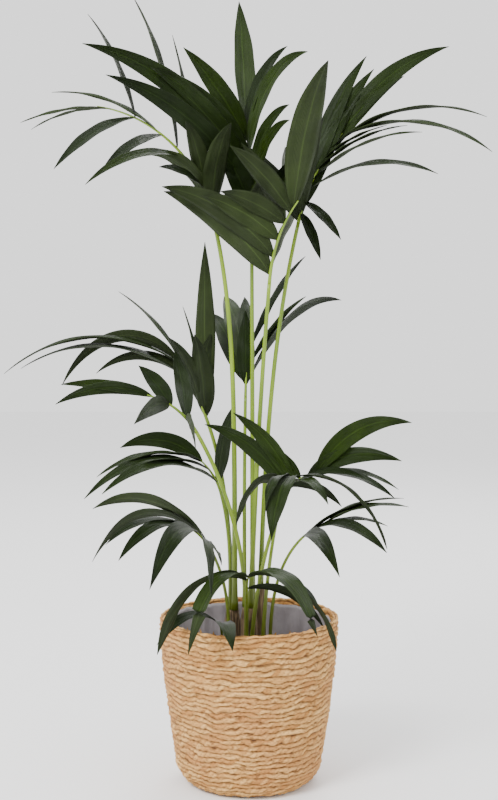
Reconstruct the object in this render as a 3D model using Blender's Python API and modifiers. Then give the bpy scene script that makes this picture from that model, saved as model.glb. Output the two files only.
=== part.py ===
"""A potted kentia palm: three short stems and a few single shoots in a round woven basket.

Each frond is a long stalk that carries a short rib with narrow leaflets on both sides.
The plant stands on the flat underside of its basket, at the origin, and is seen from -Y.
Lengths in this script are centimetres and angles are degrees, turned into metres by CM.
"""
import math
from dataclasses import dataclass

import bmesh
import bpy
from mathutils import Matrix, Vector

CM = 0.01
CLEAR = 0.03          # gap that touching pieces keep

# Basket, liner and soil
BASKET_HEIGHT = 23.4
RIM_RADIUS = 12.6
WAIST_RADIUS = 10.5   # where the wall turns into the rounded bottom
WAIST_HEIGHT = 4.2
FOOT_RADIUS = 7.6     # flat ring and floor that the basket stands on
WALL = 0.9
LINER_WALL = 0.15
LINER_BELOW_RIM = 0.6
SOIL_HEIGHT = 16.5
WALL_HEIGHTS = (20.0, 17.0, 14.0, 11.0, 7.5, 4.2, 2.7, 1.6, 0.8, 0.3)  # where the wall's outline has its points
ROUND_STEPS = 32

# Leaflets
LEAFLET_RINGS = 5
FINE_PER_RING = 3     # steps of the bending rule between two rings
LEAFLET_SLIMNESS = 80  # length of a leaflet over its thickness
NORMAL_LENGTH = 16.0  # a leaflet of this length has its side's own width
ROOT_SHARE = 0.12     # width of a leaflet's root over its greatest width
TIP_WIDTH = 0.12
PULL_LENGTH = 20.0    # a leaflet of this length and limp 1 is pulled down by its own length

# Limbs
LIMB_STEPS = 12
RIB_TIP_RADIUS = 0.14
OPPOSITE_LAG = 0.05   # right leaflets leave the rib a little before the left ones
LAST_SEAT = 0.95      # share of the rib where its last leaflets sit, sunk in its tip
LONE_SEAT = 0.6       # share of the leaflets' stretch where a side's only leaflet sits

LEAF_GREEN = (0.020, 0.060, 0.014)
STALK_GREEN = (0.20, 0.34, 0.035)
SHEATH_BROWN = (0.075, 0.050, 0.024)
STRAW = (0.52, 0.34, 0.17)
LINER_GREY = (0.36, 0.34, 0.36)
SOIL_BROWN = (0.030, 0.020, 0.013)


@dataclass
class Stem:
    """A short stem of old leaf sheaths that stands in the soil and carries several stalks."""
    name: str
    x: float
    y: float
    top_radius: float
    top: float


@dataclass
class Side:
    """Leaflets on one side of a rib, as (angle from the rib, length) pairs from its foot to its tip.

    A third number makes a leaflet broader or narrower than its side's rule.
    """
    rise: float       # how far this side is folded up from level
    limp: float       # how far its leaflets bend down under their own weight
    twist: float      # turn of a leaflet about its own length
    width: float      # greatest width of a leaflet of NORMAL_LENGTH
    leaflets: tuple


@dataclass
class Frond:
    """A stalk that leaves its foot with one lean from upright and ends in a rib."""
    name: str
    foot: tuple       # x, y and height of the stalk's lower end
    heading: float    # compass direction of the lean, 0 is +X and 90 is +Y
    leans: tuple      # lean at the foot, at the neck and at the rib's tip
    bend: float       # 1 bends evenly, more keeps the bend near the neck
    stalk: float
    rib: float
    swerve: float     # change of heading along the rib
    radii: tuple      # stalk radius at the foot and at the neck
    first: float      # where along the rib the first leaflet sits
    left: Side
    right: Side


STEMS = (
    Stem("left", -2.3, 0.9, 1.15, 24.0),
    Stem("middle", 0.0, -0.3, 1.2, 24.5),
    Stem("right", 1.7, 1.5, 0.65, 27.0),
)
LEFT_TOP, MIDDLE_TOP, RIGHT_TOP = (stem.top + CLEAR for stem in STEMS)
SOIL_TOP = SOIL_HEIGHT + CLEAR

FRONDS = (
    Frond("upper_left", (-2.0, 0.25, LEFT_TOP), 190, (0, 15, 81), 3.5, 56.0, 22.5, -25, (0.40, 0.28), 0.15,
          Side(-20, 0.6, 15, 2.0, ((60, 13), (64, 24, 0.6), (77, 17, 0.8), (73, 19), (36, 12, 1.1))),
          Side(80, 1.0, -70, 2.2, ((12, 9, 1.6), (28, 19), (35, 23), (5, 16), (48, 17, 0.7), (-10, 12)))),
    Frond("top", (0.5, 0.2, MIDDLE_TOP), 98, (0, 2, 15), 1.0, 50.5, 18.0, 20, (0.38, 0.26), 0.30,
          Side(30, 0.6, -30, 2.8, ((29, 10, 1.5), (44, 28, 0.8), (43, 32, 0.8), (49, 20.5), (39, 16, 1.1), (-8, 21))),
          Side(80, 2.2, 0, 2.6, ((21, 17), (27, 14.5), (24, 19), (30, 13.5)))),
    Frond("upper_front", (0.2, -0.6, MIDDLE_TOP), 305, (4, 8, 38), 1.5, 45.5, 12.0, 35, (0.38, 0.26), 0.15,
          Side(40, 0.3, 0, 2.8, ((60, 21), (75, 20))),
          Side(50, 1.0, 0, 3.4, ((41, 18.5, 1.1), (50, 18), (63, 12, 1.1), (74, 10), (27, 23)))),
    Frond("upper_right", (1.6, 1.45, RIGHT_TOP), 8, (2, 13, 40), 1.8, 51.5, 14.0, 0, (0.36, 0.26), 0.15,
          Side(80, 1.0, 0, 2.2, ((0, 16, 1.2), (9, 20.5), (9, 16.5), (3, 15.5), (9, 21))),
          Side(-40, 1.0, 55, 2.3, ((130, 8), (105, 9), (41, 20), (27, 17), (25, 14), (25, 10), (19, 23), (33, 23)))),
    Frond("middle_back", (-0.6, 0.2, MIDDLE_TOP), 80, (-2, 6, 12), 1.5, 29.5, 7.0, -20, (0.30, 0.22), 0.30,
          Side(-50, 0.6, 45, 2.8, ((40, 18.5), (39, 20.5), (36, 12.5))),
          Side(-60, 1.0, -40, 2.0, ((26, 27), (26, 16), (15, 18)))),
    Frond("left_front", (-0.7, -2.4, SOIL_TOP), 205, (-7, 31, 75), 1.0, 34.5, 9.0, -6, (0.34, 0.26), 0.30,
          Side(-10, 0.6, -40, 2.2, ((78, 14.5), (56, 16), (-9, 12))),
          Side(60, 1.5, 20, 3.0, ((49, 11), (34, 7, 1.2), (8, 13.5, 0.6)))),
    Frond("left_middle", (-2.2, 1.55, LEFT_TOP), 165, (3, 20, 33), 2.4, 26.5, 10.0, 0, (0.34, 0.26), 0.15,
          Side(90, 2.2, 0, 2.4, ((22, 24), (33, 9, 1.6), (-14, 15.5, 0.6), (-7, 22, 0.6))),
          Side(70, 1.0, -75, 2.0, ((13, 16), (2, 19.5), (-23, 26), (-24, 27.5)))),
    Frond("left_lower", (-2.7, 0.75, LEFT_TOP), 195, (-1, 15, 49), 2.0, 16.5, 6.0, 0, (0.30, 0.22), 0.30,
          Side(-40, 1.0, 55, 2.2, ((37, 23), (33, 23), (28, 17.5))),
          Side(70, 2.2, 0, 2.7, ((34, 12), (3, 12.5)))),
    Frond("left_low", (-3.1, -1.6, SOIL_TOP), 215, (-6, 31, 62), 1.5, 17.0, 5.5, 4, (0.28, 0.20), 0.15,
          Side(-10, 1.5, 0, 2.2, ((64, 9.5), (56, 17), (31, 19.5, 1.1), (15, 16))),
          Side(20, 1.5, -20, 2.0, ((35, 21), (58, 25, 0.6), (-3, 15)))),
    Frond("right_middle", (0.1, -2.4, SOIL_TOP), 340, (4, 24, 88), 1.5, 25.0, 6.0, -3, (0.32, 0.24), 0.15,
          Side(100, 1.5, 0, 2.5, ((62, 15), (69, 13), (88, 5), (23, 14.5), (54, 18))),
          Side(-50, 1.5, 40, 2.0, ((22, 13.5), (10, 15), (-13, 12)))),
    Frond("right_hanging", (1.7, -3.4, SOIL_TOP), 300, (5, 23, 79), 1.5, 25.5, 5.0, -10, (0.30, 0.22), 0.30,
          Side(10, 2.4, 0, 2.5, ((80, 10, 0.7), (55, 17))),
          Side(10, 3.2, 0, 2.5, ((43, 13.5), (36, 11.5), (37, 13, 1.4)))),
    Frond("right_low", (2.9, 0.5, SOIL_TOP), 345, (1, 40, 67), 2.2, 18.0, 4.5, 0, (0.28, 0.20), 0.30,
          Side(-40, 1.0, 40, 2.5, ((-1, 15.5), (-17, 14))),
          Side(0, 1.5, 0, 2.2, ((51, 16.5), (30, 15.5), (7, 10)))),
    Frond("front_low", (-0.3, -3.3, SOIL_TOP), 270, (0, 25, 70), 1.5, 11.5, 4.0, 10, (0.26, 0.20), 0.15,
          Side(10, 2.4, 0, 3.2, ((80, 13, 0.5), (47, 17.5, 1.1))),
          Side(10, 2.4, 0, 2.8, ((49, 19),))),
    Frond("front_small", (-3.6, -3.2, SOIL_TOP), 262, (0, 35, 80), 1.5, 6.0, 2.5, 0, (0.20, 0.16), 0.30,
          Side(0, 1.0, 0, 2.5, ((14, 15.5),)),
          Side(40, 3.2, 0, 2.0, ((40, 12),))),
)


def limb(start, heading, lean_from, lean_to, bend, length, swerve=0.0):
    """Points and directions of a limb whose lean and heading change along its length."""
    def direction(share):
        lean = math.radians(lean_from + (lean_to - lean_from) * share ** bend)
        compass = math.radians(heading + swerve * share)
        return Vector((math.cos(compass) * math.sin(lean), math.sin(compass) * math.sin(lean), math.cos(lean)))

    points = [Vector(start)]
    for step in range(LIMB_STEPS):
        points.append(points[-1] + direction((step + 0.5) / LIMB_STEPS) * length / LIMB_STEPS)
    directions = [direction(step / LIMB_STEPS) for step in range(LIMB_STEPS + 1)]
    return points, directions


def frond_limbs(frond):
    """The stalk and the rib of a frond, each as points and directions."""
    foot_lean, neck_lean, tip_lean = frond.leans
    stalk = limb(frond.foot, frond.heading, foot_lean, neck_lean, frond.bend, frond.stalk)
    rib = limb(stalk[0][-1], frond.heading, neck_lean, tip_lean, 1.0, frond.rib, frond.swerve)
    return stalk, rib


def rib_seat(frond, rib, share):
    """The place on the rib at this share of its length, with the rib's direction and its level left."""
    points, directions = rib
    place = share * LIMB_STEPS
    index = min(int(place), LIMB_STEPS - 1)
    point = points[index].lerp(points[index + 1], place - index)
    along = directions[index].lerp(directions[index + 1], place - index).normalized()
    compass = math.radians(frond.heading + frond.swerve * share)
    level = Vector((-math.sin(compass), math.cos(compass), 0.0))
    level = (level - along * level.dot(along)).normalized()
    return point, along, level


def leaflet_shares(frond, count, hand):
    """Where the leaflets of one side leave the rib, as shares of its length."""
    for number in range(count):
        share = LONE_SEAT if count == 1 else number / (count - 1)
        place = frond.first + (LAST_SEAT - frond.first) * share
        if hand < 0:
            place -= OPPOSITE_LAG * (1 - frond.first)
        yield max(0.0, place)


def leaflet_width(share):
    """Width of a leaflet at a share of its length, over its greatest width."""
    peak = 0.3163
    return max(share ** 0.7 * (1 - share) / peak, ROOT_SHARE * (1 - share))


def leaflet_rows(frond, rib, side, hand, place, angle, length, breadth=1.0):
    """Left and right edge points of a leaflet, ring by ring from its root to its tip."""
    root, along, level = rib_seat(frond, rib, place)
    up = along.cross(level)
    rise = math.radians(side.rise)
    outward = level * hand * math.cos(rise) + up * math.sin(rise)
    face = along.cross(outward) * hand
    splay = math.radians(angle)
    direction = along * math.cos(splay) + outward * math.sin(splay)
    steps = LEAFLET_RINGS * FINE_PER_RING
    pull = Vector((0, 0, side.limp * length / PULL_LENGTH / steps))
    width = side.width * breadth * math.sqrt(length / NORMAL_LENGTH)
    point = root.copy()
    rows = []
    for step in range(steps + 1):
        if step % FINE_PER_RING == 0:
            normal = (face - direction * face.dot(direction)).normalized()
            normal.rotate(Matrix.Rotation(math.radians(side.twist * hand), 3, direction))
            half = max(width * leaflet_width(step / steps), TIP_WIDTH) / 2
            across = direction.cross(normal) * half
            rows.append((point - across, point + across))
        direction = (direction - pull).normalized()
        point = point + direction * length / steps
    return rows


def material(name, colour, roughness=0.6):
    made = bpy.data.materials.new(name)
    made.use_nodes = True
    shader = made.node_tree.nodes["Principled BSDF"]
    shader.inputs["Base Color"].default_value = (*colour, 1.0)
    shader.inputs["Roughness"].default_value = roughness
    shader.inputs["Metallic"].default_value = 0.0
    return made


def place_object(name, data, home, finish=None):
    made = bpy.data.objects.new(name, data)
    home.objects.link(made)
    if finish:
        data.materials.append(finish)
    return made


def as_mesh_object(source, name, home):
    """A welded mesh copy of an object as it is evaluated, in place of the object."""
    depsgraph = bpy.context.evaluated_depsgraph_get()
    mesh = bpy.data.meshes.new_from_object(source.evaluated_get(depsgraph))
    mesh.name = name
    work = bmesh.new()
    work.from_mesh(mesh)
    bmesh.ops.remove_doubles(work, verts=work.verts, dist=0.00001)
    bmesh.ops.recalc_face_normals(work, faces=work.faces)
    work.to_mesh(mesh)
    work.free()
    made = bpy.data.objects.new(name, mesh)
    made.matrix_world = source.matrix_world
    home.objects.link(made)
    bpy.data.objects.remove(source)
    return made


def tapered_tube(name, points, radii, home, finish=None):
    """A round tube through points given in centimetres, with a radius from the first to the last."""
    curve = bpy.data.curves.new(name, "CURVE")
    curve.dimensions = "3D"
    curve.bevel_depth = CM
    curve.bevel_resolution = 1
    curve.use_fill_caps = True
    spline = curve.splines.new("POLY")
    spline.points.add(len(points) - 1)
    first_radius, last_radius = radii
    for number, (knot, point) in enumerate(zip(spline.points, points)):
        knot.co = (*(point * CM), 1.0)
        knot.radius = first_radius + (last_radius - first_radius) * number / (len(points) - 1)
    tube = place_object(name, curve, home, finish)
    return tube


def turned_shell(name, outline, home, finish):
    """A closed shape turned about the Z axis from (radius, height) points, outer side top to bottom first."""
    mesh = bpy.data.meshes.new(name)
    verts = [(radius * CM, 0, height * CM) for radius, height in outline]
    mesh.from_pydata(verts, [(i, i + 1) for i in range(len(verts) - 1)], [])
    shell = place_object(name, mesh, home, finish)
    screw = shell.modifiers.new("turn", "SCREW")
    screw.steps = screw.render_steps = ROUND_STEPS
    screw.use_merge_vertices = True
    screw.merge_threshold = 0.00001
    screw.use_smooth_shade = True
    return shell


def wall_radius(height):
    """Outer radius of the basket: a wall that narrows faster towards a rounded bottom."""
    if height >= WAIST_HEIGHT:
        share = (BASKET_HEIGHT - height) / (BASKET_HEIGHT - WAIST_HEIGHT)
        return RIM_RADIUS - (RIM_RADIUS - WAIST_RADIUS) * share ** 1.5
    share = 1 - height / WAIST_HEIGHT
    return FOOT_RADIUS + (WAIST_RADIUS - FOOT_RADIUS) * math.sqrt(1 - share ** 2)


def wall_outline(inset, lowest, highest):
    """(radius, height) points down the basket's wall, moved inwards by the inset."""
    between = [height for height in WALL_HEIGHTS if lowest + CLEAR < height < highest - CLEAR]
    return [(wall_radius(height) - inset, height) for height in (highest, *between, lowest)]


def build_basket(home):
    straw = material("straw", STRAW, 0.85)
    floor = WALL
    outer = wall_outline(0, 0.0, BASKET_HEIGHT - WALL / 2)
    lip = [(RIM_RADIUS - WALL / 2 + WALL / 2 * math.cos(turn), BASKET_HEIGHT - WALL / 2 + WALL / 2 * math.sin(turn))
           for turn in (math.pi * 0.75, math.pi * 0.5, math.pi * 0.25)]
    inner = wall_outline(WALL, floor, BASKET_HEIGHT - WALL / 2)
    outline = [(0, floor), *reversed(inner), *lip, *outer, (0, 0)]
    return turned_shell("basket", outline, home, straw)


def build_liner(home):
    grey = material("liner", LINER_GREY, 0.35)
    outside = WALL + CLEAR
    bottom = outside
    top = BASKET_HEIGHT - LINER_BELOW_RIM
    outer = wall_outline(outside, bottom, top)
    inner = wall_outline(outside + LINER_WALL, bottom + LINER_WALL, top)
    outline = [(0, bottom + LINER_WALL), *reversed(inner), *outer, (0, bottom)]
    return turned_shell("liner", outline, home, grey)


def build_soil(home):
    brown = material("soil", SOIL_BROWN, 0.95)
    inset = WALL + LINER_WALL + 3 * CLEAR
    side = wall_outline(inset, inset, SOIL_HEIGHT)
    outline = [(0, SOIL_HEIGHT), *side, (0, inset)]
    return turned_shell("soil", outline, home, brown)


def build_stems(home):
    brown = material("sheath", SHEATH_BROWN, 0.7)
    for stem in STEMS:
        points = [Vector((stem.x, stem.y, height)) for height in (SOIL_TOP, stem.top)]
        tapered_tube("stem_" + stem.name, points, (stem.top_radius + 0.1, stem.top_radius), home, brown)


def leaflet_sheet(name, rows, length, home):
    """One leaflet: a strip of quads through its rows, thickened by Solidify."""
    work = bmesh.new()
    bmesh.ops.create_grid(work, x_segments=1, y_segments=LEAFLET_RINGS, size=1.0)
    for vert in work.verts:
        ring = round((vert.co.y + 1) / 2 * LEAFLET_RINGS)
        edge = 0 if vert.co.x < 0 else 1
        vert.co = rows[ring][edge] * CM
    mesh = bpy.data.meshes.new(name)
    work.to_mesh(mesh)
    work.free()
    sheet = place_object(name, mesh, home)
    thickness = sheet.modifiers.new("thickness", "SOLIDIFY")
    thickness.thickness = length / LEAFLET_SLIMNESS * CM
    thickness.offset = 0.0
    return as_mesh_object(sheet, name, home)


def build_frond(frond, home, green, leaf_green):
    """The stalk and the frond above it: a rib with its leaflets joined on by one union."""
    stalk, rib = frond_limbs(frond)
    tapered_tube("stalk_" + frond.name, stalk[0], frond.radii, home, green)
    rib_points = [rib[0][0] + rib[1][0] * CLEAR, *rib[0][1:]]
    name = "frond_" + frond.name
    tube = tapered_tube(name + "_rib", rib_points, (frond.radii[1], RIB_TIP_RADIUS), home)
    blade = as_mesh_object(tube, name, home)
    leaflets = bpy.data.collections.new(name + "_leaflets")
    bpy.context.scene.collection.children.link(leaflets)
    for side, hand in ((frond.left, 1), (frond.right, -1)):
        shares = leaflet_shares(frond, len(side.leaflets), hand)
        for place, leaflet in zip(shares, side.leaflets):
            rows = leaflet_rows(frond, rib, side, hand, place, *leaflet)
            leaflet_sheet(name + "_leaflet", rows, leaflet[1], leaflets)
    union = blade.modifiers.new("leaflets", "BOOLEAN")
    union.operation = "UNION"
    union.operand_type = "COLLECTION"
    union.collection = leaflets
    fused = as_mesh_object(blade, name, home)
    fused.data.materials.clear()
    fused.data.materials.append(leaf_green)
    for piece in list(leaflets.objects):
        bpy.data.objects.remove(piece)
    bpy.data.collections.remove(leaflets)
    fused.name = name
    return fused


def main():
    for old in list(bpy.data.objects):
        bpy.data.objects.remove(old)
    palm = bpy.data.collections.new("potted_kentia_palm")
    bpy.context.scene.collection.children.link(palm)
    build_basket(palm)
    build_liner(palm)
    build_soil(palm)
    build_stems(palm)
    green = material("stalk", STALK_GREEN, 0.45)
    leaf_green = material("leaf", LEAF_GREEN, 0.5)
    for frond in FRONDS:
        build_frond(frond, palm, green, leaf_green)


main()
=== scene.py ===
# %% [markdown]
# # A potted kentia palm in a woven basket
# This lesson dresses the plain solids of a palm. The solids say where every piece is,
# and each cell below makes one kind of piece again with the surface that the real one has.
# The plant's sizes are in centimetres and its angles in degrees, as a gardener would measure
# them, except where a value says otherwise. The studio at the end and the lengths inside a
# finish are in metres, as Blender's own are.

import math
import random
from dataclasses import dataclass

import bmesh
import bpy
from mathutils import Matrix, Vector, noise


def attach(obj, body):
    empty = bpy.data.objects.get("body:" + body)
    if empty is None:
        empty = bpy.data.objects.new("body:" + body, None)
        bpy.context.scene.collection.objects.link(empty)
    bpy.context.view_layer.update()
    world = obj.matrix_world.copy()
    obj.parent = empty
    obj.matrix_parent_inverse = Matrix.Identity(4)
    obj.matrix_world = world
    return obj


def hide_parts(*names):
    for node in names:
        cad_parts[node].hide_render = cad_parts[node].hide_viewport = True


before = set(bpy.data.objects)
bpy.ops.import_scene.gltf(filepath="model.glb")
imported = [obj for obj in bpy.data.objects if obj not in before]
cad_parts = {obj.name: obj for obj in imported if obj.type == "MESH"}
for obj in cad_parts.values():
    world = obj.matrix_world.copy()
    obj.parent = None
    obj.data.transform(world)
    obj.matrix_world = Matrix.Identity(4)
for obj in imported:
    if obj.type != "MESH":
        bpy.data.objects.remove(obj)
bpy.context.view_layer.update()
CM = 0.01
BODY = "root"
print("solids:", len(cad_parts))

# %% [markdown]
# A surface pattern is a sum of small formulas. Writing them as Python expressions is easier to
# read than wiring nodes one by one, so a small class stands for a socket and adds a Math node
# for each sign.

# %% A class for node maths
MIX_SHARE, MIX_FIRST, MIX_SECOND = 0, 6, 7  # a Mix node's inputs for two colours
MIX_COLOUR = 2                              # and its output


@dataclass
class Wire:
    """A node's output, which can be added, subtracted and multiplied."""
    finish: "Finish"
    socket: object

    def join(self, operation, other=None, backwards=False):
        values = [self] if other is None else [self, other]
        if backwards:
            values.reverse()
        return self.finish.node("ShaderNodeMath", {"operation": operation}, dict(enumerate(values)))

    def __add__(self, other):
        return self.join("ADD", other)

    def __radd__(self, other):
        return self.join("ADD", other, backwards=True)

    def __sub__(self, other):
        return self.join("SUBTRACT", other)

    def __rsub__(self, other):
        return self.join("SUBTRACT", other, backwards=True)

    def __mul__(self, other):
        return self.join("MULTIPLY", other)

    def __rmul__(self, other):
        return self.join("MULTIPLY", other, backwards=True)

    def __abs__(self):
        return self.join("ABSOLUTE")


class Finish:
    """A material, with one method that adds any node."""

    def __init__(self, name, roughness, gloss=0.5):
        self.material = bpy.data.materials.new(name)
        self.material.use_nodes = True
        self.nodes = self.material.node_tree.nodes
        self.links = self.material.node_tree.links
        self.shader = self.nodes["Principled BSDF"]
        self.shader.inputs["Roughness"].default_value = roughness
        self.shader.inputs["Specular IOR Level"].default_value = gloss

    def node(self, kind, settings=None, sockets=None, output=0):
        """Adds a node, sets it up, and fills its sockets with values or with wires."""
        made = self.nodes.new(kind)
        for key, value in (settings or {}).items():
            setattr(made, key, value)
        for place, value in (sockets or {}).items():
            if isinstance(value, Wire):
                self.links.new(value.socket, made.inputs[place])
            else:
                made.inputs[place].default_value = value
        return Wire(self, made.outputs[output])

    def feed(self, name, wire):
        self.links.new(wire.socket, self.shader.inputs[name])

    def attribute(self, name):
        return self.node("ShaderNodeAttribute", {"attribute_name": name}, output="Fac")

    def place(self, scale=(1, 1, 1), source="Object"):
        """Coordinates on the piece, squeezed or stretched by scale."""
        coordinates = self.node("ShaderNodeTexCoord", output=source)
        return self.node("ShaderNodeMapping", sockets={"Vector": coordinates, "Scale": scale})

    def part_of(self, place, axis):
        return self.node("ShaderNodeSeparateXYZ", sockets={"Vector": place}, output=axis)

    def speckle(self, place, scale, detail=3.0):
        """Smooth noise around one half. A larger scale makes finer specks."""
        sockets = {"Vector": place, "Scale": scale, "Detail": detail}
        return self.node("ShaderNodeTexNoise", sockets=sockets, output="Fac")

    def blend(self, share, first, second):
        """A colour between two colours."""
        first, second = (end if isinstance(end, Wire) else (*end, 1.0) for end in (first, second))
        sockets = {MIX_SHARE: share, MIX_FIRST: first, MIX_SECOND: second}
        return self.node("ShaderNodeMix", {"data_type": "RGBA"}, sockets, output=MIX_COLOUR)

    def ramp(self, share, low, high):
        """Turns low into 0 and high into 1, with what lies beyond kept at 0 or 1."""
        sockets = {"Value": share, "From Min": low, "From Max": high}
        return self.node("ShaderNodeMapRange", {"clamp": True}, sockets)

    def bump(self, height, distance):
        sockets = {"Height": height, "Distance": distance}
        self.feed("Normal", self.node("ShaderNodeBump", sockets=sockets))


# %% [markdown]
# Most pieces here are a sheet rolled into a ring: a rope wall, a liner, a stalk. One helper
# takes the grid that bmesh makes, puts each of its points where a rule says, and closes the seam.

# %% Helpers for rolled sheets
SAME_POINT = 0.000002  # metres between points that are merged


def rolled(mesh, around, along, place):
    """Adds a grid rolled into a ring. place(vert, turn, ring) gives a point, turn from 0 to 1."""
    made = bmesh.ops.create_grid(mesh, x_segments=around, y_segments=along, size=1.0, calc_uvs=True)
    for vert in made["verts"]:
        turn = (vert.co.x + 1) / 2
        ring = round((vert.co.y + 1) / 2 * along)
        vert.co = place(vert, turn % 1.0, ring) * CM
    bmesh.ops.remove_doubles(mesh, verts=made["verts"], dist=SAME_POINT)


def compass_point(turn):
    """A level direction. A turn of 0 is +X and a quarter is +Y."""
    angle = turn * math.tau
    return Vector((math.cos(angle), math.sin(angle), 0))


def raised(height):
    return Vector((0, 0, height))


def ring_noise(outward, waves, level):
    """Smooth noise from -1 to 1 round the plant's axis. More waves make it change faster."""
    return noise.noise(Vector((outward.x * waves, outward.y * waves, level)))


def spread(lowest, highest, count):
    """Evenly spaced numbers, both ends included."""
    return [lowest + (highest - lowest) * number / (count - 1) for number in range(count)]


def finished(mesh, name, finishes, replaced=(), outward=True):
    """Turns a bmesh into a smooth piece that rides on the plant and stands for its solids."""
    if outward:
        bmesh.ops.recalc_face_normals(mesh, faces=mesh.faces)
    data = bpy.data.meshes.new(name)
    mesh.to_mesh(data)
    mesh.free()
    data.shade_smooth()
    for finish in finishes:
        data.materials.append(finish.material)
    piece = bpy.data.objects.new(name, data)
    bpy.context.scene.collection.objects.link(piece)
    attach(piece, BODY)
    if replaced:
        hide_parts(*replaced)
    print(name, "faces:", len(data.polygons))
    return piece


# %% [markdown]
# ## Basket
# The basket is one long grass rope coiled upon itself and stitched. Real rope is two or three
# strands twisted together, so each row shows short slanted bumps. Modelling every strand would
# take far too many faces. A turned wall whose radius rises over each row and each strand gives
# the same outline and shadow, and the fine fibres are left to the surface finish.

# %% Sizes of the basket
BASKET_HEIGHT = 23.4
RIM_RADIUS = 12.6
WAIST_RADIUS = 10.5   # where the wall turns into the rounded bottom
WAIST_HEIGHT = 4.2
FOOT_RADIUS = 7.6     # flat underside that the basket stands on
WALL = 0.9
WALL_CURVE = 1.5      # 1 is a straight wall, and more keeps it upright near the rim
INNER_ROPE = 2.0      # rope shows this far down inside the rim
LIP_POINTS = 12
LIP_START = 0.3       # radians left off both ends of the lip's half circle
WALL_POINTS = 60
BOTTOM_POINTS = 30
BOTTOM_START = 0.05   # radians left off the start of the bottom's quarter circle
print("basket:", BASKET_HEIGHT, "cm high and", 2 * RIM_RADIUS, "cm across its rim")


def wall_radius(height):
    """Outer radius of the basket, as in the solid: a wall that draws in, then a rounded bottom."""
    if height >= WAIST_HEIGHT:
        share = (BASKET_HEIGHT - height) / (BASKET_HEIGHT - WAIST_HEIGHT)
        return RIM_RADIUS - (RIM_RADIUS - WAIST_RADIUS) * share ** WALL_CURVE
    share = 1 - height / WAIST_HEIGHT
    return FOOT_RADIUS + (WAIST_RADIUS - FOOT_RADIUS) * math.sqrt(1 - share ** 2)


def wall_path():
    """Points (radius, height) up the inside of the rim, over it and down to the foot."""
    lip = WALL / 2
    lip_height = BASKET_HEIGHT - lip
    inner = [(wall_radius(height) - WALL, height)
             for height in spread(BASKET_HEIGHT - INNER_ROPE, lip_height, LIP_POINTS)]
    arc = [(RIM_RADIUS - lip - lip * math.cos(turn), lip_height + lip * math.sin(turn))
           for turn in spread(LIP_START, math.pi - LIP_START, LIP_POINTS)]
    wall = [(wall_radius(height), height) for height in spread(lip_height, WAIST_HEIGHT, WALL_POINTS)]
    low = [WAIST_HEIGHT * (1 - math.sin(turn))
           for turn in spread(BOTTOM_START, math.pi / 2, BOTTOM_POINTS)]
    bottom = [(wall_radius(height), height) for height in low]
    return [Vector(point) for point in (*inner, *arc, *wall, *bottom)]


def even_steps(path, step):
    """The same path as points a step apart, each with the direction that faces out of the wall."""
    steps, travelled, reached = [], 0.0, 0.0
    for start, end in zip(path, path[1:]):
        length = (end - start).length
        while length > 0 and reached <= travelled + length:
            along = (end - start) / length
            steps.append((start + along * (reached - travelled), Vector((-along.y, along.x))))
            reached += step
        travelled += length
    return steps


# %% Sizes of the rope
ROPE = 0.74           # height of one row of rope
ROW_RINGS = 5         # rings of points in one row
BASKET_AROUND = 500   # points in one ring
STRANDS = 62          # slanted bumps in one row
STRAND_SLANT = 1.1    # how many bumps a strand leans over one row
ROW_SHIFT = 7         # a row starts up to this many bumps further round
ROW_ROUND = 0.6       # less makes a row flatter on top
STRAND_ROUND = 0.7    # the same for a strand
STRAND_NOTCH = 0.5    # how deep the notch between two strands cuts into a row
STRAND_THIN = 0.6     # thickness of the thinnest strand
STRAND_VARIES = 0.6   # how much thicker the thickest one is
ROPE_RELIEF = 0.34    # how far a strand of thickness 1 stands over the gaps
RELIEF_SUNK = 0.85    # share of it that is sunk into the solid's wall
ROW_WANDER = 0.80     # how far a row strays up or down, in rows
WANDER_WAVES = 2.6
WANDER_RISE = 0.045   # how fast the straying changes from ring to ring
ROW_KINK = 0.40       # the same over a few strands
KINK_WAVES = 9.0
KINK_RISE = 0.16
BUNCHING = 2.2        # how many bumps the strands of a row crowd together
BUNCH_WAVES = 3.0
BUNCH_RISE = 0.37
WOBBLE = 0.10         # how far the whole wall strays from round
WOBBLE_WAVES = 1.3
WOBBLE_RISE = 0.12
FOOT_INSET = 0.6      # hem between the foot and the flat underside
NO_LENGTH = 0.000001  # metres, an edge that is taken out
ROW_SEEDS = 1009      # how far apart the seeds of two rows are


# %% Weave the basket
def strand_tone(row, strand):
    return random.Random(row * ROW_SEEDS + strand).random()


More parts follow.
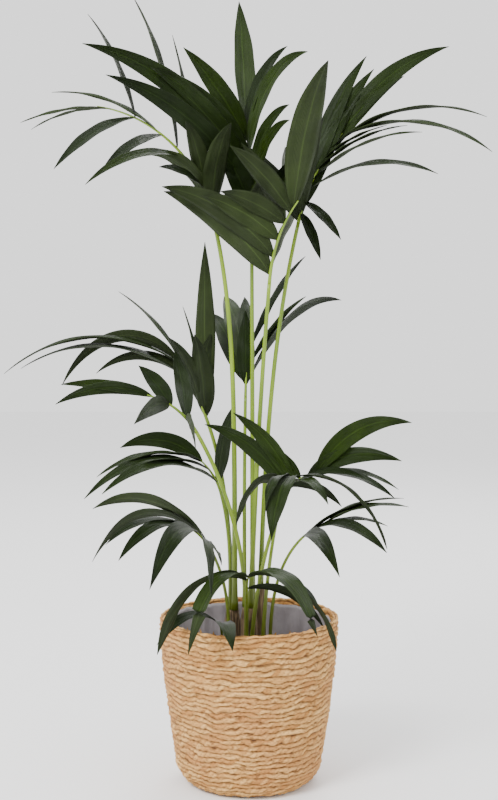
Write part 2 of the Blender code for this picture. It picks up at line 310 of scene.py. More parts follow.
def weave_basket():
    """The rolled wall, after two rings for the floor inside and before two for the underside."""
    steps = even_steps(wall_path(), ROPE / ROW_RINGS)
    last = len(steps) + 3
    flat_rings = {
        0: Vector((0, WALL)),
        1: Vector((wall_radius(WALL) - WALL, WALL)),
        last - 1: Vector((FOOT_RADIUS - FOOT_INSET, 0)),
        last: Vector((0, 0)),
    }
    row_shift = [random.Random(row).random() * ROW_SHIFT for row in range(len(steps) // ROW_RINGS + 2)]
    mesh = bmesh.new()
    crest = mesh.verts.layers.float.new("crest")
    tone = mesh.verts.layers.float.new("tone")

    def place(vert, turn, ring):
        outward = compass_point(turn)
        if ring in flat_rings:
            corner = flat_rings[ring]
            return outward * corner.x + raised(corner.y)
        step = ring - 2
        point, away = steps[step]
        wander = ring_noise(outward, WANDER_WAVES, step * WANDER_RISE)
        kink = ring_noise(outward, KINK_WAVES, step * KINK_RISE)
        level = max(0.0, step / ROW_RINGS + ROW_WANDER * wander + ROW_KINK * kink)
        row = int(level)
        phase = level - row
        bunch = noise.noise(Vector((outward.x, outward.y, row * BUNCH_RISE)) * BUNCH_WAVES)
        bump = turn * STRANDS + row_shift[row] + (phase - 0.5) * STRAND_SLANT + bunch * BUNCHING
        own_tone = strand_tone(row, math.floor(bump) % STRANDS)
        round_row = abs(math.sin(math.pi * phase)) ** ROW_ROUND
        round_strand = abs(math.sin(math.pi * bump)) ** STRAND_ROUND
        height = round_row * (1 - STRAND_NOTCH + STRAND_NOTCH * round_strand)
        vert[crest] = height
        vert[tone] = own_tone
        lift = (height * (STRAND_THIN + STRAND_VARIES * own_tone) - RELIEF_SUNK) * ROPE_RELIEF
        wobble = noise.noise(Vector((outward.x, outward.y, point.y * WOBBLE_RISE)) * WOBBLE_WAVES) * WOBBLE
        out = away.x * lift + wobble
        return outward * (point.x + out) + raised(max(0.0, point.y + away.y * lift))

    rolled(mesh, BASKET_AROUND, last, place)
    bmesh.ops.dissolve_degenerate(mesh, edges=mesh.edges, dist=NO_LENGTH)
    return mesh


# %% [markdown]
# Dry grass is tan and cream with a little pink, and the gaps between the strands get painted
# shade in dark brown. The height of each point was stored while weaving, so the finish can paint
# that shade into the gaps exactly where they are, and each strand has its own tone.

# %% Finish of the rope
DARK_STRAW = (0.46, 0.215, 0.055)
PALE_STRAW = (0.78, 0.47, 0.165)
ROSY_STRAW = (0.48, 0.21, 0.075)
FIBRE_BROWN = (0.20, 0.085, 0.02)
SPECK_BROWN = (0.13, 0.05, 0.015)
# painted shade: the dark brown that stands for the shade in the gaps between strands
PAINTED_SHADE_BROWN = (0.075, 0.026, 0.007)


def rope_finish():
    rope = Finish("twisted_grass", 0.85, gloss=0.3)
    patches = rope.ramp(rope.speckle(rope.place(), scale=14.0), low=0.35, high=0.68)
    fibres = rope.speckle(rope.place((260, 260, 700)), scale=1.0, detail=4.0)
    specks = rope.ramp(rope.speckle(rope.place((1, 1, 1.6)), scale=75.0, detail=2.0), low=0.62, high=0.70)
    # painted shade in the low parts between rows and strands, taken from each point's stored height
    painted_gap_shade = rope.ramp(rope.attribute("crest"), low=0.12, high=0.75)
    straw = rope.blend(rope.attribute("tone"), DARK_STRAW, PALE_STRAW)
    rosy = rope.blend(patches * 0.55, straw, ROSY_STRAW)
    streaked = rope.blend(rope.ramp(fibres, low=0.45, high=0.72) * 0.6, rosy, FIBRE_BROWN)
    specked = rope.blend(specks * 0.6, streaked, SPECK_BROWN)
    # the painted shade darkens the straw in the gaps
    rope.feed("Base Color", rope.blend(painted_gap_shade, PAINTED_SHADE_BROWN, specked))
    rope.bump(fibres, distance=0.0012)
    return rope


finished(weave_basket(), "basket_weave", [rope_finish()], ["basket"])

# %% [markdown]
# ## Liner
# A thin plastic film keeps the basket dry. It stands loosely against the wall, so it has
# upright wrinkles and an uneven edge. A rolled sheet moved by smooth noise gives both.

# %% Make the liner
LINER_TOP = 22.7
LINER_FOOT = 2.0
LINER_RINGS = 26
LINER_AROUND = 220
LINER_CROWDING = 0.6  # less crowds the rings towards the top
EDGE_STRAY = 0.35     # how far the edge strays up and down
EDGE_WAVES = 4.0
WRINKLE_DEPTH = 0.75
WRINKLE_WAVES = 9
WRINKLE_RISE = 0.10
CREASE_DEPTH = 0.05   # small creases between the wrinkles
CREASE_WAVES = 30
CREASE_RISE = 0.6
LINER_GAP = 0.10      # between the wall and the film
FILM_THICKNESS = 0.03
FILM_DARK = (0.19, 0.17, 0.18)
FILM_PALE = (0.34, 0.31, 0.32)


def fold_liner():
    mesh = bmesh.new()

    def place(vert, turn, ring):
        outward = compass_point(turn)
        share = ring / LINER_RINGS
        edge = noise.noise(outward * EDGE_WAVES) * EDGE_STRAY
        height = LINER_FOOT + (LINER_TOP + edge - LINER_FOOT) * share ** LINER_CROWDING
        wrinkle = abs(ring_noise(outward, WRINKLE_WAVES, height * WRINKLE_RISE))
        crease = ring_noise(outward, CREASE_WAVES, height * CREASE_RISE) * CREASE_DEPTH
        inward = LINER_GAP + WRINKLE_DEPTH * wrinkle * share + crease
        return outward * (wall_radius(height) - WALL - inward) + raised(height)

    rolled(mesh, LINER_AROUND, LINER_RINGS, place)
    return mesh


def film_finish():
    film = Finish("wrinkled_film", 0.32)
    clouds = film.ramp(film.speckle(film.place(), scale=22.0), low=0.3, high=0.7)
    film.feed("Base Color", film.blend(clouds, FILM_DARK, FILM_PALE))
    film.bump(film.speckle(film.place((1, 1, 0.4)), scale=90.0), distance=0.002)
    return film


liner = finished(fold_liner(), "liner_film", [film_finish()], ["liner"])
liner.modifiers.new("thickness", "SOLIDIFY").thickness = FILM_THICKNESS * CM

# %% [markdown]
# ## Soil
# Potting soil is a dark bed with crumbs. The bed is a rolled sheet with a rough top, and the
# crumbs are small balls with few faces, because there are hundreds of them.

# %% Make the soil
SOIL_HEIGHT = 16.5
SOIL_RINGS = 34
SOIL_AROUND = 96
BED_GAP = 0.35        # between the bed and the wall's inner face
BED_DEPTH = 4
BED_UNDERCUT = 0.6    # how much smaller its underside is
BED_DIP = 0.1         # how far the bed lies below the solid's level
LUMP_HEIGHT = 0.25    # broad lumps in the bed, and grains on them
LUMP_WAVES = 0.9
GRAIN_HEIGHT = 0.1
GRAIN_WAVES = 3
CRUMBS = 420
CRUMBS_GAP = 0.9      # the same as BED_GAP, for the crumbs' middles
CRUMB_SIZES = (0.12, 0.42)
CRUMB_LIFT = 0.2      # share of its size that a crumb's middle lies above the bed
CRUMB_TURN = 6        # radians
CRUMB_SHAPE = (1, 0.7, 0.6, 1)
CRUMB_SEED = 4
SOIL_DARK = (0.022, 0.014, 0.009)
SOIL_PALE = (0.11, 0.07, 0.04)


def soil_bed():
    """Rings 0 and 1 are the flat underside, and the others run from the edge to the middle."""
    mesh = bmesh.new()
    edge = wall_radius(SOIL_HEIGHT) - WALL - BED_GAP

    def place(vert, turn, ring):
        if ring == 0:
            return raised(SOIL_HEIGHT - BED_DEPTH)
        if ring == 1:
            return compass_point(turn) * (edge - BED_UNDERCUT) + raised(SOIL_HEIGHT - BED_DEPTH)
        at = compass_point(turn) * (edge * (SOIL_RINGS - ring) / (SOIL_RINGS - 2))
        lumps = LUMP_HEIGHT * noise.noise(at * LUMP_WAVES)
        grains = GRAIN_HEIGHT * noise.noise(at * GRAIN_WAVES)
        return at + raised(SOIL_HEIGHT - BED_DIP + lumps + grains)

    rolled(mesh, SOIL_AROUND, SOIL_RINGS, place)
    return mesh


def soil_crumbs():
    mesh = bmesh.new()
    dice = random.Random(CRUMB_SEED)
    edge = wall_radius(SOIL_HEIGHT) - WALL - CRUMBS_GAP
    for _ in range(CRUMBS):
        angle = dice.uniform(0, math.tau)
        radius = edge * math.sqrt(dice.random())
        size = dice.uniform(*CRUMB_SIZES)
        height = SOIL_HEIGHT + size * CRUMB_LIFT
        seat = Vector((radius * math.cos(angle), radius * math.sin(angle), height))
        turned = Matrix.Rotation(dice.uniform(0, CRUMB_TURN), 4, "X") @ Matrix.Diagonal(CRUMB_SHAPE)
        place = Matrix.Translation(seat * CM) @ turned
        bmesh.ops.create_icosphere(mesh, subdivisions=1, radius=size * CM, matrix=place)
    return mesh


def soil_finish():
    soil = Finish("potting_soil", 0.95)
    grain = soil.speckle(soil.place(), scale=160.0)
    soil.feed("Base Color", soil.blend(soil.ramp(grain, low=0.4, high=0.75), SOIL_DARK, SOIL_PALE))
    soil.bump(grain, distance=0.003)
    return soil


earth = soil_finish()
finished(soil_bed(), "soil_bed", [earth], ["soil"])
finished(soil_crumbs(), "soil_crumbs", [earth])

# %% [markdown]
# ## The palm's plan
# A kentia palm grows one frond after another from a short stem. Each frond is a stalk, a rib
# and two rows of leaflets. The numbers are the ones that the solids were grown from, so the
# finer fronds keep to the same places: heading, leans, lengths, and for each leaflet its angle
# from the rib and its length.

# %% The fronds
@dataclass
class Stem:
    """A short stem of old leaf sheaths that stands in the soil and carries stalks."""
    name: str
    x: float
    y: float
    top_radius: float
    top: float


@dataclass
class Side:
    """Leaflets on one side of a rib, as (angle from the rib, length) from its foot to its tip.

    A third number makes a leaflet broader or narrower than its side's rule.
    """
    rise: float       # how far this side is folded up from level
    limp: float       # how far its leaflets bend down under their own weight
    twist: float      # turn of a leaflet about its own length
    width: float      # greatest width of a leaflet of NORMAL_LENGTH
    leaflets: tuple


@dataclass
class Frond:
    """A stalk that leaves its foot with one lean from upright and ends in a rib."""
    name: str
    foot: tuple       # x, y and height of the stalk's lower end
    heading: float    # compass direction of the lean, 0 is +X and 90 is +Y
    leans: tuple      # lean at the foot, at the neck and at the rib's tip
    bend: float       # 1 bends evenly, more keeps the bend near the neck
    stalk: float
    rib: float
    swerve: float     # change of heading along the rib
    radii: tuple      # stalk radius at the foot and at the neck
    first: float      # where along the rib the first leaflet sits
    left: Side
    right: Side


CLEAR = 0.03          # gap that touching pieces keep
STEMS = (
    Stem("left", -2.3, 0.9, 1.15, 24.0),
    Stem("middle", 0.0, -0.3, 1.2, 24.5),
    Stem("right", 1.7, 1.5, 0.65, 27.0),
)
LEFT_TOP, MIDDLE_TOP, RIGHT_TOP = (stem.top + CLEAR for stem in STEMS)
SOIL_TOP = SOIL_HEIGHT + CLEAR

FRONDS = (
    Frond("upper_left", (-2.0, 0.25, LEFT_TOP), 190, (0, 15, 81), 3.5, 56.0, 22.5, -25, (0.40, 0.28), 0.15,
          Side(-20, 0.6, 15, 2.0, ((60, 13), (64, 24, 0.6), (77, 17, 0.8), (73, 19), (36, 12, 1.1))),
          Side(80, 1.0, -70, 2.2, ((12, 9, 1.6), (28, 19), (35, 23), (5, 16), (48, 17, 0.7), (-10, 12)))),
    Frond("top", (0.5, 0.2, MIDDLE_TOP), 98, (0, 2, 15), 1.0, 50.5, 18.0, 20, (0.38, 0.26), 0.30,
          Side(30, 0.6, -30, 2.8,
               ((29, 10, 1.5), (44, 28, 0.8), (43, 32, 0.8), (49, 20.5), (39, 16, 1.1), (-8, 21))),
          Side(80, 2.2, 0, 2.6, ((21, 17), (27, 14.5), (24, 19), (30, 13.5)))),
    Frond("upper_front", (0.2, -0.6, MIDDLE_TOP), 305, (4, 8, 38), 1.5, 45.5, 12.0, 35, (0.38, 0.26), 0.15,
          Side(40, 0.3, 0, 2.8, ((60, 21), (75, 20))),
          Side(50, 1.0, 0, 3.4, ((41, 18.5, 1.1), (50, 18), (63, 12, 1.1), (74, 10), (27, 23)))),
    Frond("upper_right", (1.6, 1.45, RIGHT_TOP), 8, (2, 13, 40), 1.8, 51.5, 14.0, 0, (0.36, 0.26), 0.15,
          Side(80, 1.0, 0, 2.2, ((0, 16, 1.2), (9, 20.5), (9, 16.5), (3, 15.5), (9, 21))),
          Side(-40, 1.0, 55, 2.3,
               ((130, 8), (105, 9), (41, 20), (27, 17), (25, 14), (25, 10), (19, 23), (33, 23)))),
    Frond("middle_back", (-0.6, 0.2, MIDDLE_TOP), 80, (-2, 6, 12), 1.5, 29.5, 7.0, -20, (0.30, 0.22), 0.30,
          Side(-50, 0.6, 45, 2.8, ((40, 18.5), (39, 20.5), (36, 12.5))),
          Side(-60, 1.0, -40, 2.0, ((26, 27), (26, 16), (15, 18)))),
    Frond("left_front", (-0.7, -2.4, SOIL_TOP), 205, (-7, 31, 75), 1.0, 34.5, 9.0, -6, (0.34, 0.26), 0.30,
          Side(-10, 0.6, -40, 2.2, ((78, 14.5), (56, 16), (-9, 12))),
          Side(60, 1.5, 20, 3.0, ((49, 11), (34, 7, 1.2), (8, 13.5, 0.6)))),
    Frond("left_middle", (-2.2, 1.55, LEFT_TOP), 165, (3, 20, 33), 2.4, 26.5, 10.0, 0, (0.34, 0.26), 0.15,
          Side(90, 2.2, 0, 2.4, ((22, 24), (33, 9, 1.6), (-14, 15.5, 0.6), (-7, 22, 0.6))),
          Side(70, 1.0, -75, 2.0, ((13, 16), (2, 19.5), (-23, 26), (-24, 27.5)))),
    Frond("left_lower", (-2.7, 0.75, LEFT_TOP), 195, (-1, 15, 49), 2.0, 16.5, 6.0, 0, (0.30, 0.22), 0.30,
          Side(-40, 1.0, 55, 2.2, ((37, 23), (33, 23), (28, 17.5))),
          Side(70, 2.2, 0, 2.7, ((34, 12), (3, 12.5)))),
    Frond("left_low", (-3.1, -1.6, SOIL_TOP), 215, (-6, 31, 62), 1.5, 17.0, 5.5, 4, (0.28, 0.20), 0.15,
          Side(-10, 1.5, 0, 2.2, ((64, 9.5), (56, 17), (31, 19.5, 1.1), (15, 16))),
          Side(20, 1.5, -20, 2.0, ((35, 21), (58, 25, 0.6), (-3, 15)))),
    Frond("right_middle", (0.1, -2.4, SOIL_TOP), 340, (4, 24, 88), 1.5, 25.0, 6.0, -3, (0.32, 0.24), 0.15,
          Side(100, 1.5, 0, 2.5, ((62, 15), (69, 13), (88, 5), (23, 14.5), (54, 18))),
          Side(-50, 1.5, 40, 2.0, ((22, 13.5), (10, 15), (-13, 12)))),
    Frond("right_hanging", (1.7, -3.4, SOIL_TOP), 300, (5, 23, 79), 1.5, 25.5, 5.0, -10, (0.30, 0.22), 0.30,
          Side(10, 2.4, 0, 2.5, ((80, 10, 0.7), (55, 17))),
          Side(10, 3.2, 0, 2.5, ((43, 13.5), (36, 11.5), (37, 13, 1.4)))),
    Frond("right_low", (2.9, 0.5, SOIL_TOP), 345, (1, 40, 67), 2.2, 18.0, 4.5, 0, (0.28, 0.20), 0.30,
          Side(-40, 1.0, 40, 2.5, ((-1, 15.5), (-17, 14))),
          Side(0, 1.5, 0, 2.2, ((51, 16.5), (30, 15.5), (7, 10)))),
    Frond("front_low", (-0.3, -3.3, SOIL_TOP), 270, (0, 25, 70), 1.5, 11.5, 4.0, 10, (0.26, 0.20), 0.15,
          Side(10, 2.4, 0, 3.2, ((80, 13, 0.5), (47, 17.5, 1.1))),
          Side(10, 2.4, 0, 2.8, ((49, 19),))),
    Frond("front_small", (-3.6, -3.2, SOIL_TOP), 262, (0, 35, 80), 1.5, 6.0, 2.5, 0, (0.20, 0.16), 0.30,
          Side(0, 1.0, 0, 2.5, ((14, 15.5),)),
          Side(40, 3.2, 0, 2.0, ((40, 12),))),
)
print("fronds:", len(FRONDS), "on", len(STEMS), "stems and in the soil")

# %% [markdown]
# A frond also has leaflets that fold down or stand up between the broad ones and crowd the
# middle of the plant. The plain solids leave them out. Each is placed by where it points, which
# is easier to judge than an angle from the rib: compass direction, lift above level, and roll
# about its own length.

# %% The folded leaflets
@dataclass
class Folded:
    """A leaflet that is placed by where it points."""
    frond: str
    seat: float       # share of the rib where it sits
    compass: float    # 0 is +X and 90 is +Y
    lift: float       # 90 is straight up
    roll: float       # turn about its own length
    limp: float       # how far it bends down under its own weight
    length: float
    width: float


FOLDED = (
    Folded("upper_left", 0.04, 205, 66, 25, 2.6, 14.0, 2.9),
    Folded("upper_left", 0.00, 290, 76, 0, 2.4, 14.5, 3.2),
    Folded("upper_left", 0.10, 250, 70, 10, 2.0, 12.0, 2.6),
    Folded("upper_front", 0.85, 185, 58, 70, 1.0, 12.0, 2.9),
    Folded("upper_front", 0.70, 150, 66, 80, 0.8, 13.0, 2.7),
    Folded("upper_right", 0.05, 282, 74, 0, 2.0, 19.0, 3.2),
    Folded("upper_right", 0.02, 160, 62, 75, 0.8, 13.5, 2.8),
    Folded("top", 0.10, 5, 66, 75, 0.9, 14.0, 2.5),
    Folded("top", 0.05, 285, 70, 0, 2.2, 11.0, 2.6),
    Folded("middle_back", 0.25, 95, 86, 0, 0.2, 10.5, 2.5),
    Folded("left_middle", 0.10, 255, 78, 0, 1.9, 13.0, 3.2),
    Folded("left_middle", 0.25, 225, 72, 20, 1.8, 12.0, 2.6),
    Folded("right_hanging", 0.20, 300, 40, 0, 2.6, 12.0, 2.4),
    Folded("front_low", 0.90, 312, 34, 0, 2.6, 16.5, 3.3),
    Folded("front_low", 0.85, 232, 34, 0, 3.0, 17.5, 2.7),
)
print("folded leaflets:", len(FOLDED))

# %% [markdown]
# ## The growing rule
# A limb starts at its foot with one lean and ends with another. A leaflet leaves the rib at its
# angle and is pulled down a little more at each step, which bends it as its own weight does.

# %% Grow limbs and leaflets
LIMB_STEPS = 48
OPPOSITE_LAG = 0.05   # right leaflets leave the rib a little before the left ones
LAST_SEAT = 0.95      # share of the rib where its last leaflets sit
LONE_SEAT = 0.6       # share of the leaflets' stretch where a side's only leaflet sits
NORMAL_LENGTH = 16.0  # a leaflet of this length has its side's own width
PULL_LENGTH = 20.0    # the pulls on a leaflet of this length and limp 1 add up to 1
LEAF_RINGS = 30
LEAF_ACROSS = 8
LEAF_CURVE = 0.7      # less makes a leaflet broad sooner
LEAF_PEAK = 0.3163    # about the highest value of the curve that LEAF_CURVE gives
LEAF_NECK = 0.12      # share of its width that a leaflet has at its root
LEAF_TIP = 0.04       # narrowest that a leaflet gets


def limb(start, heading, lean_from, lean_to, bend, length, swerve=0.0):
    """Points of a limb from its foot, and its direction at each of them."""
    def direction(share):
        lean = math.radians(lean_from + (lean_to - lean_from) * share ** bend)
        compass = math.radians(heading + swerve * share)
        level = math.sin(lean)
        return Vector((math.cos(compass) * level, math.sin(compass) * level, math.cos(lean)))

    points = [Vector(start)]
    for step in range(LIMB_STEPS):
        points.append(points[-1] + direction((step + 0.5) / LIMB_STEPS) * length / LIMB_STEPS)
    return points, [direction(step / LIMB_STEPS) for step in range(LIMB_STEPS + 1)]


def frond_limbs(frond):
    foot_lean, neck_lean, tip_lean = frond.leans
    stalk = limb(frond.foot, frond.heading, foot_lean, neck_lean, frond.bend, frond.stalk)
    rib = limb(stalk[0][-1], frond.heading, neck_lean, tip_lean, 1.0, frond.rib, frond.swerve)
    return stalk, rib


def rib_seat(frond, rib, share):
    """A point on the rib, the rib's direction there, and the level direction to its left."""
    points, directions = rib
    place = share * LIMB_STEPS
    index = min(int(place), LIMB_STEPS - 1)
    point = points[index].lerp(points[index + 1], place - index)
    along = directions[index].lerp(directions[index + 1], place - index).normalized()
    compass = math.radians(frond.heading + frond.swerve * share)
    level = Vector((-math.sin(compass), math.cos(compass), 0.0))
    return point, along, (level - along * level.dot(along)).normalized()


def leaflet_shares(frond, count, hand):
    """Where along the rib the leaflets of one side sit. hand is 1 on the left, -1 on the right."""
    for number in range(count):
        share = LONE_SEAT if count == 1 else number / (count - 1)
        place = frond.first + (LAST_SEAT - frond.first) * share
        if hand < 0:
            place -= OPPOSITE_LAG * (1 - frond.first)
        yield max(0.0, place)


def leaflet_width(share):
    """Slim at the root, broadest two fifths of the way along, and drawn out to a fine tip."""
    return max(share ** LEAF_CURVE * (1 - share) / LEAF_PEAK, LEAF_NECK * (1 - share))


def leaflet_lines(frond, rib, side, hand, place, angle, length, breadth=1.0):
    """The rings of a leaflet that leaves the rib at an angle."""
    root, along, level = rib_seat(frond, rib, place)
    up = along.cross(level)
    rise = math.radians(side.rise)
    splay = math.radians(angle)
    outward = level * hand * math.cos(rise) + up * math.sin(rise)
    face = along.cross(outward) * hand
    direction = along * math.cos(splay) + outward * math.sin(splay)
    width = side.width * breadth * math.sqrt(length / NORMAL_LENGTH)
    return blade_lines(root, direction, face, side.twist * hand, side.limp, length, width)


def folded_lines(frond, rib, leaf):
    """The rings of a folded leaflet, whose face looks up before it is rolled."""
    root = rib_seat(frond, rib, leaf.seat)[0]
    compass = math.radians(leaf.compass)
    lift = math.radians(leaf.lift)
    ahead = Vector((math.cos(compass), math.sin(compass), 0))
    direction = ahead * math.cos(lift) + Vector((0, 0, math.sin(lift)))
    face = Vector((0, 0, math.cos(lift))) - ahead * math.sin(lift)
    return blade_lines(root, direction, face, leaf.roll, leaf.limp, leaf.length, leaf.width)


def blade_lines(root, direction, face, twist, limp, length, width):
    """Yields each ring's middle, its half width as a vector, the way its face looks, and the half."""
    pull = Vector((0, 0, limp * length / PULL_LENGTH / LEAF_RINGS))
    point = root.copy()
    for ring in range(LEAF_RINGS + 1):
        normal = (face - direction * face.dot(direction)).normalized()
        normal.rotate(Matrix.Rotation(math.radians(twist), 3, direction))
        half = max(width * leaflet_width(ring / LEAF_RINGS), LEAF_TIP) / 2
        yield point.copy(), direction.cross(normal) * half, normal, half
        direction = (direction - pull).normalized()
        point = point + direction * length / LEAF_RINGS


# %% [markdown]
# ## Leaflets
# Each leaflet is folded along its keel like a shallow gutter and has a few long pleats beside
# it. The grid that bmesh makes is moved ring by ring: its middle column becomes the keel.
# The back of a leaflet is greyer than its face, so the thickness gives the back its own finish.

# %% Leaf finishes
# Three greens for the faces and three for the backs, dealt out leaflet by leaflet
FACES = ((0.0120, 0.0255, 0.0010), (0.0080, 0.0180, 0.0008), (0.0165, 0.0340, 0.0012))
BACKS = ((0.0170, 0.0285, 0.0045), (0.0135, 0.0230, 0.0038), (0.0210, 0.0350, 0.0055))
FACE_ROUGHNESS = 0.42
BACK_ROUGHNESS = 0.60
LEAF_GLOSS = 0.22
VEINS = 150.0         # waves of the vein pattern, in radians over a leaflet's width
KEEL_PALER = 2.0      # colour of the keel over that of the leaflet
KEEL_PALEST = 0.004   # and what is added to it
CLOUD_DARKER = 0.62


def leaf_finish(name, colour, roughness):
    """Satin green with fine veins along the leaflet and a paler keel."""
    leaf = Finish(name, roughness, gloss=LEAF_GLOSS)
    across = leaf.part_of(leaf.place(source="UV"), "X")
    keel = 1 - leaf.ramp(abs(across - 0.5), low=0.012, high=0.045)
    veins = leaf.node("ShaderNodeMath", {"operation": "SINE"}, {0: across * VEINS})
    clouds = leaf.ramp(leaf.speckle(leaf.place(), scale=30.0), low=0.35, high=0.7)
    pale = tuple(part * KEEL_PALER + KEEL_PALEST for part in colour)
    deep = tuple(part * CLOUD_DARKER for part in colour)
    leaf.feed("Base Color", leaf.blend(keel * 0.5, leaf.blend(clouds, colour, deep), pale))
    leaf.bump(veins * 0.5 + keel, distance=0.0004)
    return leaf


LEAF_FINISHES = [
    *(leaf_finish(f"leaf_face_{number}", colour, FACE_ROUGHNESS) for number, colour in enumerate(FACES)),
    *(leaf_finish(f"leaf_back_{number}", colour, BACK_ROUGHNESS) for number, colour in enumerate(BACKS)),
]
print("leaf finishes:", len(LEAF_FINISHES))

# %% Grow the fronds
LEAF_THICKNESS = 0.05
LEAF_FOLD = 0.26      # how far the edges stand over the keel, as a share of half the width
PLEAT = 0.05          # height of the pleats as a share of half the width
PLEATS = 4
RIPPLE = 0.05         # the same for the waves along a leaflet
RIPPLES = 19          # radians of them from root to tip
RIPPLE_SLANT = 2      # radians that an edge is ahead of the keel or behind it


def add_leaflet(mesh, lines, tone):
    made = bmesh.ops.create_grid(mesh, x_segments=LEAF_ACROSS, y_segments=LEAF_RINGS, size=1.0,
                                 calc_uvs=True)
    rows = list(lines)
    for vert in made["verts"]:
        across = vert.co.x
        share = (vert.co.y + 1) / 2
        middle, side, normal, half = rows[round(share * LEAF_RINGS)]
        fold = LEAF_FOLD * abs(across) * half
        pleat = PLEAT * half * math.cos(across * math.pi * PLEATS)
        ripple = RIPPLE * half * math.sin(share * RIPPLES + across * RIPPLE_SLANT)
        vert.co = (middle + side * across + normal * (fold + pleat + ripple)) * CM
    for face in {face for vert in made["verts"] for face in vert.link_faces}:
        face.material_index = tone


def grow_leaves(frond, rib, dice):
    mesh = bmesh.new()
    mesh.loops.layers.uv.new("UVMap")
    for side, hand in ((frond.left, 1), (frond.right, -1)):
        shares = leaflet_shares(frond, len(side.leaflets), hand)
        for place, leaflet in zip(shares, side.leaflets):
            lines = leaflet_lines(frond, rib, side, hand, place, *leaflet)
            add_leaflet(mesh, lines, dice.randrange(len(FACES)))
    for leaf in FOLDED:
        if leaf.frond == frond.name:
            add_leaflet(mesh, folded_lines(frond, rib, leaf), dice.randrange(len(FACES)))
    name = "leaflets_" + frond.name
    piece = finished(mesh, name, LEAF_FINISHES, ["frond_" + frond.name], outward=False)
    body = piece.modifiers.new("body", "SOLIDIFY")
    body.thickness = LEAF_THICKNESS * CM
    body.offset = 0.0
    body.material_offset = len(FACES)


# %% [markdown]
# ## Stalks, ribs and stems
# A stalk is nearly round, swells where it sheathes its foot and has a shallow groove down one
# side. It is a rolled sheet round the same line as its solid, with closed ends. Stems are
# wrapped in old brown sheaths, which dry out and split, so their surface is fluted and uneven
# and draws in at the top.

# %% Grow stalks and stems
STALK_AROUND = 14
RIB_AROUND = 10
RIB_TIP = 0.10
SWELLING = 0.35       # how much thicker a stalk is at its foot
SWELL_SHARE = 9       # the swelling takes up one part in this many of the stalk
GROOVE_DEPTH = 0.10
GROOVE_SHARPNESS = 6
LEAST_ACROSS = 0.2    # a tube's turn starts towards +Y if more of +Y than this lies across it
STEM_AROUND = 48
STEM_RINGS = 28
STEM_FLARE = 0.1      # how much wider a stem is at its foot
STEM_FIT = 0.93       # share of its solid's radius that a stem has before its flutes
FLUTES = 5            # broad folds round a stem
FLUTE_DEPTH = 0.06
SPLITS = 17           # fine ones between them
SPLIT_DEPTH = 0.03
SPLIT_TURN = 3        # radians that they turn from foot to top
UNEVENNESS = 0.08     # smooth bumps over both
UNEVEN_WAVES = 2
UNEVEN_RISE = 3
TOP_STARTS = 0.75     # share of its height where a stem begins to draw in
TOP_TAPER = 0.22
STALK_DARK = (0.095, 0.165, 0.003)
STALK_PALE = (0.19, 0.29, 0.008)
STALK_FOOT = (0.075, 0.065, 0.010)
SHEATH_DARK = (0.055, 0.032, 0.016)
SHEATH_PALE = (0.28, 0.19, 0.10)
FINISH_SEED = 11      # sets which leaflet gets which green


def add_tube(mesh, points, radius_at, around):
    """Adds a closed tube round a line of points. radius_at(share, angle) gives its radius."""
    last = len(points) - 1

    def place(vert, turn, ring):
        station = min(max(ring - 1, 0), last)
        if ring == 0 or ring == last + 2:
            return points[station].copy()
        before = points[max(station - 1, 0)]
        after = points[min(station + 1, last)]
        along = (after - before).normalized()
        side = Vector((0, 1, 0)) - along * along.y
        if side.length <= LEAST_ACROSS:
            side = along.orthogonal()
        side.normalize()
        angle = turn * math.tau
        radius = radius_at(station / last, angle)
        other = along.cross(side) * math.sin(angle) * radius
        return points[station] + side * math.cos(angle) * radius + other

    rolled(mesh, around, last + 2, place)


def stalk_finish():
    stalk = Finish("green_stalk", 0.38)
    tone = stalk.ramp(stalk.speckle(stalk.place((1, 1, 0.12)), scale=60.0), low=0.3, high=0.7)
    green = stalk.blend(tone, STALK_DARK, STALK_PALE)
    low = 1 - stalk.ramp(stalk.part_of(stalk.place(), "Z"), low=0.22, high=0.42)
    stalk.feed("Base Color", stalk.blend(low * 0.6, green, STALK_FOOT))
    stalk.bump(stalk.speckle(stalk.place((1, 1, 0.05)), scale=500.0), distance=0.0004)
    return stalk


def sheath_finish():
    sheath = Finish("dry_sheath", 0.75)
    fibres = sheath.speckle(sheath.place((1, 1, 0.06)), scale=420.0)
    brown = sheath.blend(sheath.ramp(fibres, low=0.35, high=0.72), SHEATH_DARK, SHEATH_PALE)
    sheath.feed("Base Color", brown)
    sheath.bump(fibres, distance=0.003)
    return sheath


def grow_palm():
    dice = random.Random(FINISH_SEED)
    stalks = bmesh.new()
    ribs = bmesh.new()
    for frond in FRONDS:
        stalk, rib = frond_limbs(frond)
        foot, neck = frond.radii

        def stalk_radius(share, angle):
            sheathed = 1 + SWELLING * max(0.0, 1 - share * SWELL_SHARE) ** 2
            groove = 1 - GROOVE_DEPTH * max(0.0, math.cos(angle)) ** GROOVE_SHARPNESS
            return (foot + (neck - foot) * share) * sheathed * groove

        def rib_radius(share, angle):
            return neck + (RIB_TIP - neck) * share

        add_tube(stalks, stalk[0], stalk_radius, STALK_AROUND)
        add_tube(ribs, rib[0], rib_radius, RIB_AROUND)
        grow_leaves(frond, rib, dice)
    green = stalk_finish()
    finished(stalks, "stalks", [green], ["stalk_" + frond.name for frond in FRONDS])
    finished(ribs, "ribs", [green])


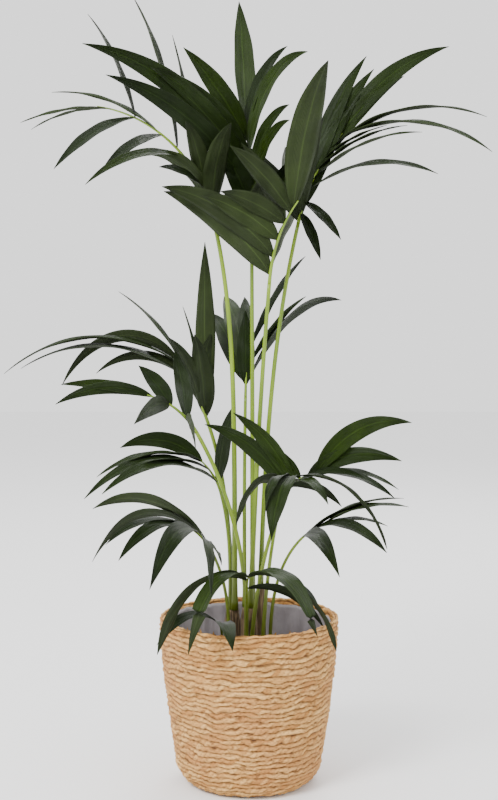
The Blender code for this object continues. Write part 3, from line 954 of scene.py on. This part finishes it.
def grow_stems():
    mesh = bmesh.new()
    for number, stem in enumerate(STEMS):
        points = [Vector((stem.x, stem.y, height)) for height in spread(SOIL_TOP, stem.top, STEM_RINGS)]

        def radius_at(share, angle):
            flute = FLUTE_DEPTH * math.sin(FLUTES * angle + number)
            split = SPLIT_DEPTH * math.sin(SPLITS * angle + share * SPLIT_TURN)
            around = Vector((math.cos(angle) * UNEVEN_WAVES, math.sin(angle) * UNEVEN_WAVES, 0))
            rough = UNEVENNESS * noise.noise(around + raised(share * UNEVEN_RISE + number))
            taper = 1 - TOP_TAPER * max(0.0, share - TOP_STARTS) / (1 - TOP_STARTS)
            radius = stem.top_radius + STEM_FLARE * (1 - share)
            return radius * (STEM_FIT + (flute + split) + rough) * taper

        add_tube(mesh, points, radius_at, STEM_AROUND)
    finished(mesh, "leaf_sheaths", [sheath_finish()], ["stem_" + stem.name for stem in STEMS])


grow_palm()
grow_stems()

# %% [markdown]
# ## Floor, light and camera
# The plant stands on a pale ground under wide soft lights. The camera is two metres away, a
# little above the middle of the plant, and looks down a few degrees, which shows the inside of
# the basket's rim. Sizes here are metres.

# %% Studio
FLOOR_HALF = 6.0
FLOOR_DROP = 0.001    # keeps the floor clear of the basket's underside
PAPER_WHITE = (0.9, 0.9, 0.9, 1.0)
SKY_WHITE = (1, 1, 1, 1)
SKY_STRENGTH = 1.6
LIGHTS = (            # name, place, aim, side and watts
    ("key", (-1.6, -2.2, 2.6), (0, 0, 0.6), 1.2, 150),
    ("fill", (2.2, -1.8, 1.4), (0, 0, 0.5), 1.8, 4),
    ("back", (0.6, 2.2, 2.4), (0, 0, 0.7), 1.4, 40),
)
CAMERA_PLACE = (0.0, -2.0, 0.694)
CAMERA_DOWN = 4.5
CAMERA_LENS = 65.0


def white_floor():
    mesh = bmesh.new()
    bmesh.ops.create_grid(mesh, x_segments=1, y_segments=1, size=FLOOR_HALF)
    data = bpy.data.meshes.new("floor")
    mesh.to_mesh(data)
    mesh.free()
    paper = Finish("white_paper", 0.9)
    paper.shader.inputs["Base Color"].default_value = PAPER_WHITE
    data.materials.append(paper.material)
    floor = bpy.data.objects.new("floor", data)
    floor.location.z = -FLOOR_DROP
    bpy.context.scene.collection.objects.link(floor)


def soft_light(name, place, aim, side, watts):
    data = bpy.data.lights.new(name, "AREA")
    data.shape = "SQUARE"
    data.size = side
    data.energy = watts
    lamp = bpy.data.objects.new(name, data)
    lamp.location = place
    lamp.rotation_euler = (Vector(aim) - Vector(place)).to_track_quat("-Z", "Y").to_euler()
    bpy.context.scene.collection.objects.link(lamp)


def white_sky():
    world = bpy.data.worlds.new("soft_white")
    world.use_nodes = True
    background = world.node_tree.nodes["Background"]
    background.inputs["Color"].default_value = SKY_WHITE
    background.inputs["Strength"].default_value = SKY_STRENGTH
    bpy.context.scene.world = world


def photo_camera():
    data = bpy.data.cameras.new("camera")
    data.lens = CAMERA_LENS
    camera = bpy.data.objects.new("camera", data)
    camera.location = CAMERA_PLACE
    camera.rotation_euler = (math.radians(90 - CAMERA_DOWN), 0, 0)
    bpy.context.scene.collection.objects.link(camera)
    bpy.context.scene.camera = camera


white_floor()
white_sky()
for light in LIGHTS:
    soft_light(*light)
photo_camera()
print("lights:", len(LIGHTS))
